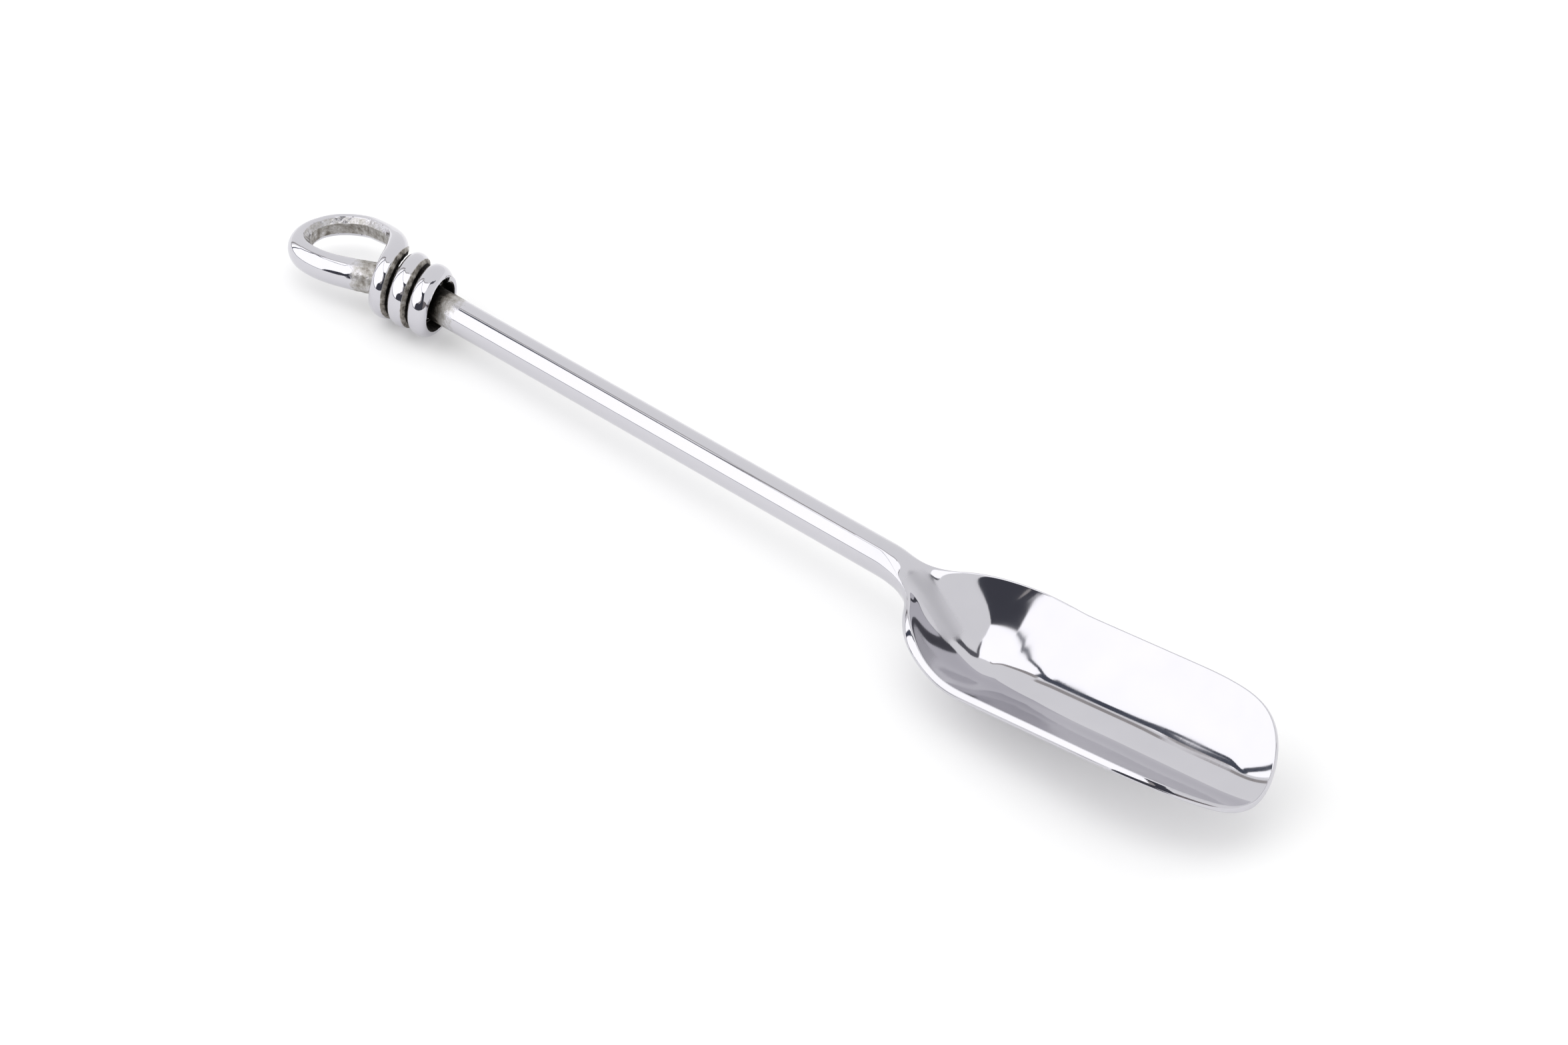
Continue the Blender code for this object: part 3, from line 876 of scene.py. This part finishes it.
# %% Helpers for shader nodes
def add_node(tree, kind, inputs=None, **settings):
    """A new shader node. An input is a value, or another node's output to link."""
    node = tree.nodes.new("ShaderNode" + kind)
    for name, value in settings.items():
        setattr(node, name, value)
    for key, value in (inputs or {}).items():
        if isinstance(value, bpy.types.NodeSocket):
            tree.links.new(value, node.inputs[key])
        else:
            node.inputs[key].default_value = value
    return node


def combined(tree, operation, *values):
    """One amount from two or three others, by the named operation."""
    return add_node(tree, "Math", dict(enumerate(values)), operation=operation).outputs[0]


def ranged(tree, amount, low, high, to_low=0.0, to_high=1.0):
    """An amount that runs from low to high, made to run from to_low to to_high and no further."""
    limits = {"From Min": low, "From Max": high, "To Min": to_low, "To Max": to_high}
    return add_node(tree, "MapRange", {"Value": amount, **limits}).outputs["Result"]


def noise(tree, place, scale, detail, roughness=0.5):
    """A cloudy amount, with about scale clouds to a unit of place."""
    clouds = {"Scale": scale, "Detail": detail, "Roughness": roughness}
    return add_node(tree, "TexNoise", {"Vector": place, **clouds}).outputs["Fac"]


def bump(tree, height, depth, strength=1.0, over=None):
    """A normal that follows a height, over another bump where one is given."""
    inputs = {"Strength": strength, "Distance": depth, "Height": height}
    if over is not None:
        inputs["Normal"] = over
    return add_node(tree, "Bump", inputs).outputs["Normal"]


def ramp(tree, amount, stops):
    """A colour that follows an amount from 0 to 1 through stops of (place, colour)."""
    node = add_node(tree, "ValToRGB", {"Fac": amount})
    while len(node.color_ramp.elements) < len(stops):
        node.color_ramp.elements.new(1.0)
    for element, (place, colour) in zip(node.color_ramp.elements, stops):
        element.position = place
        element.color = (*colour, 1.0)
    return node.outputs["Color"]


def new_steel(name):
    """A material with a metallic shader, as (material, node tree, shader)."""
    material = bpy.data.materials.new(name)
    material.use_nodes = True
    tree = material.node_tree
    shader = tree.nodes["Principled BSDF"]
    shader.inputs["Metallic"].default_value = 1.0
    return material, tree, shader


def dress(tree, shader, colour, roughness, normal):
    """Links a finish to its shader."""
    for name, output in (("Base Color", colour), ("Roughness", roughness), ("Normal", normal)):
        tree.links.new(output, shader.inputs[name])


# %% [markdown]
# Mirror-polished stainless steel is a pale, faintly violet grey. It is never quite even: the wheel leaves
# hair lines along its path, a few pits stay in the skin, and the shine varies a little from place to place.
# Lines and pits are a bump, drawn out along the wheel's path. The unevenness is in the roughness.

# %% Polished steel
STEEL = (0.60, 0.592, 0.63)
DARKER = 0.97
MIRROR_ROUGHNESS = (0.03, 0.085)
SATIN_ROUGHNESS = 0.36
SHINE_CLOUDS = 160.0
PITS = 420.0
PIT_SHARE = 0.8
SCOOP_PATH = (3200.0, 300.0, 300.0)


def object_place(tree):
    return add_node(tree, "TexCoord").outputs["Object"]


def stored_polish(tree):
    return add_node(tree, "Attribute", attribute_name="polish").outputs["Fac"]


def hair_lines(tree, place, path):
    """Heights of the wheel's fine lines, stretched by path, with a few pits among them."""
    stretched = add_node(tree, "Mapping", {"Vector": place, "Scale": path}).outputs["Vector"]
    fine = noise(tree, stretched, 1.0, detail=5.0, roughness=0.6)
    pits = add_node(tree, "TexVoronoi", {"Vector": place, "Scale": PITS}).outputs["Distance"]
    return combined(tree, "MULTIPLY_ADD", ranged(tree, pits, 0.02, 0.07), PIT_SHARE, fine)


def mirror_polish(tree, shader, path, depth, satin=None):
    """Mirror polish with hair lines of the given depth, and satin where the stored polish falls."""
    place = object_place(tree)
    cloud = noise(tree, place, SHINE_CLOUDS, detail=4.0)
    tone = ramp(tree, cloud, [(0.3, [DARKER * v for v in STEEL]), (0.7, STEEL)])
    shine = ranged(tree, cloud, 0.3, 0.7, *MIRROR_ROUGHNESS)
    if satin is not None:
        shine = combined(tree, "MAXIMUM", shine, ranged(tree, stored_polish(tree), 0.0, 1.0, satin, 0.0))
    dress(tree, shader, tone, shine, bump(tree, hair_lines(tree, place, path), depth))


scoop_steel, tree, shader = new_steel("polished_scoop_steel")
mirror_polish(tree, shader, SCOOP_PATH, depth=0.0006 * MM, satin=SATIN_ROUGHNESS)
scoop.data.materials.append(scoop_steel)

weld_steel, tree, shader = new_steel("dressed_weld_steel")
mirror_polish(tree, shader, SCOOP_PATH, depth=0.0009 * MM)
neck_weld.data.materials.append(weld_steel)
print("polished:", scoop_steel.name, weld_steel.name)

# %% [markdown]
# Where the wheel could not reach, the mould's skin is left: brown-grey and rough, and black in the grooves,
# where polishing paste stays. The finish reads the polish that was stored on the corners,
# and a noise breaks it up, so that the shine ends in specks and not in a line.

# %% Steel between polish, mould skin and painted shade
# The two darkest stops are painted shade: black in the grooves, in the knot's mouth and on the bar inside it.
# The brown-greys are the mould skin's own colour.
CAST_SKIN_AND_SHADE_COLOURS = [
    (0.0, (0.012, 0.011, 0.010)),
    (0.22, (0.05, 0.045, 0.04)),
    (0.42, (0.27, 0.25, 0.225)),
    (0.6, (0.46, 0.445, 0.43)),
    (0.8, STEEL),
]
CAST_SHINE = [(0.0, (0.75,) * 3), (0.3, (0.6,) * 3), (0.6, (0.36,) * 3), (0.85, (0.05,) * 3)]
FULL_POLISH = 0.75
SPECKS = 900.0
GRAINS = 3500.0
GRAIN_DEPTH = 0.12 * MM
BAR_PATH = (160.0, 2600.0, 2600.0)
KNOT_PATH = (700.0, 700.0, 700.0)


def partly_polished(tree, shader, path, depth, contrast):
    """Mirror polish that gives way to mould skin as the stored polish falls, and to painted black shade where
    it falls to nothing, in specks of that contrast.
    """
    place = object_place(tree)
    speck = noise(tree, place, SPECKS, detail=6.0, roughness=0.65)
    broken = combined(tree, "ADD", stored_polish(tree), ranged(tree, speck, 0.25, 0.75, -contrast, contrast))
    amount = ranged(tree, broken, 0.0, FULL_POLISH)
    coarse = ranged(tree, amount, 0.35, 0.95, 0.9, 0.0)
    grain = noise(tree, place, GRAINS, detail=5.0, roughness=0.6)
    rough = bump(tree, grain, GRAIN_DEPTH, strength=coarse)
    lines = bump(tree, hair_lines(tree, place, path), depth, over=rough)
    dress(tree, shader, ramp(tree, amount, CAST_SKIN_AND_SHADE_COLOURS), ramp(tree, amount, CAST_SHINE), lines)


bar_steel, tree, shader = new_steel("polished_bar_steel")
partly_polished(tree, shader, BAR_PATH, depth=0.0008 * MM, contrast=0.16)
handle.data.materials.append(bar_steel)

knot_steel, tree, shader = new_steel("cast_knot_steel")
partly_polished(tree, shader, KNOT_PATH, depth=0.001 * MM, contrast=0.18)
knot.data.materials.clear()
knot.data.materials.append(knot_steel)
print("partly polished:", bar_steel.name, knot_steel.name)

# %% [markdown]
# The weld inside the knot is hidden by the turns, so its CAD solid stays as it is.
# It still gets what a raw weld has: heat colours over a rough, scaled skin.

# %% The raw weld
HEAT_COLOURS = [
    (0.3, (0.03, 0.028, 0.03)),
    (0.5, (0.16, 0.12, 0.09)),
    (0.62, (0.12, 0.11, 0.16)),
    (0.75, (0.35, 0.32, 0.28)),
]
SCALE_SPOTS = 1500.0
SCALE_DEPTH = 0.15 * MM
raw_steel, tree, shader = new_steel("raw_weld_steel")
scale = noise(tree, object_place(tree), SCALE_SPOTS, detail=6.0, roughness=0.65)
dull = ranged(tree, scale, 0.3, 0.7, 0.75, 0.4)
dress(tree, shader, ramp(tree, scale, HEAT_COLOURS), dull, bump(tree, scale, SCALE_DEPTH, strength=0.7))
raw_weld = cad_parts["knot_weld"]
raw_weld.data.materials.clear()
raw_weld.data.materials.append(raw_steel)
print("raw weld keeps", len(raw_weld.data.polygons), "CAD faces")

# %% [markdown]
# The picture is taken with a long lens, from above and from the near side of the lip.

# %% Camera
VIEW_FROM = Vector((0.43740, -0.43150, 0.44000))
VIEW_RIGHT = Vector((0.6973, 0.7162, 0.0266))
VIEW_UP = Vector((-0.4319, 0.3902, 0.8132))
IMAGE_WIDTH = 2352
FOCAL_PIXELS = 6833.68
SENSOR_WIDTH = 36.0
CLIP_START = 0.01
camera_data = bpy.data.cameras.new("camera")
camera_data.sensor_width = SENSOR_WIDTH
camera_data.lens = FOCAL_PIXELS / IMAGE_WIDTH * SENSOR_WIDTH
camera_data.clip_start = CLIP_START
camera = bpy.data.objects.new("camera", camera_data)
bpy.context.scene.collection.objects.link(camera)
view_back = VIEW_RIGHT.cross(VIEW_UP).normalized()
turned = Matrix((VIEW_RIGHT.normalized(), view_back.cross(VIEW_RIGHT).normalized(), view_back)).transposed()
camera.matrix_world = Matrix.Translation(VIEW_FROM) @ turned.to_4x4()
bpy.context.scene.camera = camera
print("lens in mm:", round(camera_data.lens, 1))

# %% [markdown]
# Polished steel shows the room more than itself. The room is a plain white tent: the left wall and part
# of the roof are lit, the rest is the pale background, the front is open and dark,
# and dark seams run where the cloths meet.
# Each cloth is a filled circle whose corners are moved out to directions seen from the object.
# Its edges are smooth curves, because steel would show a kink. Seams are narrow strips that hang nearer.
# All are hidden from the camera.

# %% Cloths of the tent
away = Vector((-view_back.x, -view_back.y, 0)).normalized()
rightward = away.cross(UP)
TENT_MIDDLE = Vector((0.06, 0, 0))
TENT_REACH = 3.0
SEAM_REACH = 2.3


def direction(azimuth, elevation):
    """A direction by its degrees to the right of the camera's line and above the table."""
    a, e = azimuth * DEG, elevation * DEG
    return (math.sin(a) * rightward + math.cos(a) * away) * math.cos(e) + math.sin(e) * UP


def glow(name, tone, strength=1.0):
    """A cloth's material, which only shines."""
    material = bpy.data.materials.new(name)
    material.use_nodes = True
    tree = material.node_tree
    tree.nodes.clear()
    light = add_node(tree, "Emission", {"Color": (*tone, 1.0), "Strength": strength})
    output = add_node(tree, "OutputMaterial")
    tree.links.new(light.outputs[0], output.inputs["Surface"])
    return material


def hang(piece, material):
    """Gives a piece its material and hides it from the camera and from shadows, so that it is seen in
    reflections only.
    """
    piece.data.materials.append(material)
    piece.visible_camera = False
    piece.visible_shadow = False
    print("hung", piece.name)


def cloth(name, edge, material, reach=TENT_REACH):
    """One cloth of the tent, with its edge through the given (azimuth, elevation) corners."""
    bpy.ops.object.select_all(action="DESELECT")
    bpy.ops.mesh.primitive_circle_add(vertices=len(edge), radius=reach, fill_type="NGON")
    piece = bpy.context.object
    piece.name = piece.data.name = name
    for corner, (azimuth, elevation) in zip(piece.data.vertices, edge):
        corner.co = TENT_MIDDLE + reach * direction(azimuth, elevation)
    hang(piece, material)


def bent(a, b, c, d, t):
    """A value on a smooth bend from b to c, where a comes before them and d after them."""
    square = 2 * a - 5 * b + 4 * c - d
    cube = 3 * b - a - 3 * c + d
    return 0.5 * (2 * b + (c - a) * t + square * t**2 + cube * t**3)


def curved(line, steps=5):
    """A smooth line through the given (azimuth, elevation) corners."""
    points = []
    ends = [line[0], *line, line[-1]]
    for before, start, end, after in zip(ends, ends[1:], ends[2:], ends[3:]):
        for i in range(steps):
            points.append(tuple(bent(*values, i / steps) for values in zip(before, start, end, after)))
    return [*points, line[-1]]


def seam(name, line, width, material):
    """A narrow strip along a line of (azimuth, elevation) corners, as wide as the given angle."""
    left, right = [], []
    for i, (azimuth, elevation) in enumerate(line):
        (a, e), (b, f) = line[max(i - 1, 0)], line[min(i + 1, len(line) - 1)]
        across = Vector((-(f - e), (b - a) * math.cos(elevation * DEG))).normalized() * width / 2
        shift = across.x / math.cos(elevation * DEG)
        left.append((azimuth - shift, elevation - across.y))
        right.append((azimuth + shift, elevation + across.y))
    strip = sheet_stock(name, len(line), 2)
    for corner in strip.data.vertices:
        row, column = round((corner.co.x + 0.5) * (len(line) - 1)), round(corner.co.y + 0.5)
        corner.co = TENT_MIDDLE + SEAM_REACH * direction(*(right if column else left)[row])
    hang(strip, material)


# %% [markdown]
# The lit cloths are bright enough for steel to show them as white, and no brighter.
# The open front and a gap in the roof are dark.
# Corners are pairs of degrees: to the right of the camera's line, and above the table.

# %% Edges of the cloths
CORNER = (-48.5, 49.3)
FRONT_LEFT = (-123, 59.5)
FRONT_RIGHT = (-180, 60)
GAP_CORNER = (-262, 66)
LEFT_SEAM = curved([
    CORNER, (-58, 49.4), (-63, 51.6), (-68, 53.6), (-72, 54.6), (-86, 56.5), (-114, 59), FRONT_LEFT,
])
BACK_SEAM = curved([CORNER, (-53, 57), (-59, 69), (-50, 79), (0, 86.5), (60, 85.5), (85, 80), (84, 68)])
FRONT_TOP = curved([FRONT_LEFT, (-143, 60), (-162, 60), FRONT_RIGHT])
FRONT_SIDE = curved([FRONT_RIGHT, (-181, 52), (-184, 42), (-188, 30), (-190, 15), (-188, -3)])
ROOF_EDGE = curved([FRONT_RIGHT, (-193, 64), (-211, 66), (-231, 67), GAP_CORNER])
GAP_RIGHT = curved([GAP_CORNER, (-272, 53), (-273.5, 46), (-279, 39), (-284, 33), (-288, 28)])
GAP_LEFT = curved([
    (-291, 28), (-289.5, 33), (-288, 38), (-286, 44), (-287, 50), (-286, 56),
    (-280, 66), (-262, 70), (-240, 70), (-220, 68.5), (-205, 66),
])
WALL_EDGE = curved([
    FRONT_LEFT, (-133, 56), (-143, 53), (-149, 50), (-158, 38), (-155, 30), (-125, 20), (-116, 12), (-114, 1),
])
print("the left wall's edge has", len(LEFT_SEAM) + len(WALL_EDGE), "corners")

# %% Hang the cloths
LIT_STRENGTH = 1.66
ROOF_REACH = 2.9
GAP_REACH = 2.85
GAP_START = 12
lit = glow("lit_cloth", (1.0, 1.0, 1.0), LIT_STRENGTH)
dark = glow("open_front", (0.070, 0.072, 0.088))
dim = glow("dim_front", (0.24, 0.22, 0.22))
gap = glow("roof_gap", (0.12, 0.12, 0.135))
cloth("left_wall", [*LEFT_SEAM, *WALL_EDGE[1:], (-86, 1), (-48.5, 1)], lit)
cloth("lit_roof", [*LEFT_SEAM, *FRONT_TOP[1:], *ROOF_EDGE[1:], *BACK_SEAM[:0:-1]], lit, ROOF_REACH)
cloth("roof_gap", [*ROOF_EDGE[GAP_START:], *GAP_RIGHT[1:], *GAP_LEFT], gap, GAP_REACH)
cloth("open_front", [*WALL_EDGE[::-1], *FRONT_TOP[1:], *FRONT_SIDE[1:]], dark)
cloth("dim_front", [(-188, -8), (-190, 30), (-225, 8), (-240, -12)], dim)

# %% [markdown]
# The seams hide the joints of the cloths, as tape does in a real tent. Each has its own width in degrees.
# The left seam leaves its cloth near the corner, to meet the corner's seam in one point.

# %% Hang the seams
PAST_CORNER = 6
BACK_END = 22
seam_dark = glow("seam_dark", (0.085, 0.095, 0.125))
seam_grey = glow("seam_grey", (0.26, 0.26, 0.29))
seam_brown = glow("seam_brown", (0.42, 0.40, 0.39))
CORNER_SEAM = curved([
    (-53, 49.6), (-51.5, 47.8), (-50, 46.3), (-49.8, 44.9), (-52.5, 43.6),
    (-54, 41.5), (-55.5, 37.5), (-56, 33), (-57, 22), (-55, -4),
])
FRONT_FADE = curved([(-152, 48), (-157, 38), (-154, 30), (-140, 24)])
seam("left_seam", [(-52.5, 47.2), (-55, 48.3), *LEFT_SEAM[PAST_CORNER:]], width=1.1, material=seam_dark)
seam("back_seam", BACK_SEAM[:BACK_END], width=2.4, material=seam_brown)
seam("corner_seam", CORNER_SEAM, width=2.9, material=seam_dark)
seam("beside_corner", [(-43.5, 49.3), (-43.5, 20), (-43.5, -4)], width=3.0, material=seam_brown)
seam("front_fade", FRONT_FADE, width=8.0, material=seam_brown)
seam("horizon_seam", [(-44, 0), (-86, 0), (-114, 0)], width=4.0, material=seam_grey)

# %% [markdown]
# The floor is plain white paper, which keeps the object's shadow. A little light of its own,
# seen by the camera and in reflections, lifts it to the white of the background.

# %% Floor and background
FLOOR_SIZE = 8
FLOOR_DROP = 0.05 * MM
PAPER = (0.82, 0.82, 0.82, 1.0)
PAPER_LIGHT = 0.2
WHITE = (1.0, 1.0, 1.0, 1.0)
bpy.ops.object.select_all(action="DESELECT")
bpy.ops.mesh.primitive_plane_add(size=FLOOR_SIZE, location=(0, 0, -FLOOR_DROP))
floor = bpy.context.object
floor.name = "floor"
floor_paper = bpy.data.materials.new("floor_paper")
floor_paper.use_nodes = True
tree = floor_paper.node_tree
tree.nodes.clear()
paths = add_node(tree, "LightPath")
seen = combined(tree, "MAXIMUM", paths.outputs["Is Camera Ray"], paths.outputs["Is Glossy Ray"])
seen = combined(tree, "MAXIMUM", seen, paths.outputs["Is Transmission Ray"])
lift = add_node(tree, "Emission", {"Strength": combined(tree, "MULTIPLY", seen, PAPER_LIGHT)})
paper = add_node(tree, "BsdfDiffuse", {"Color": PAPER})
both = add_node(tree, "AddShader", {0: lift.outputs[0], 1: paper.outputs[0]})
add_node(tree, "OutputMaterial", {"Surface": both.outputs[0]})
floor.data.materials.append(floor_paper)

world = bpy.data.worlds.new("tent")
bpy.context.scene.world = world
world.use_nodes = True
background = world.node_tree.nodes["Background"]
background.inputs["Color"].default_value = WHITE
background.inputs["Strength"].default_value = 1.0
bpy.context.scene.view_settings.view_transform = "Standard"
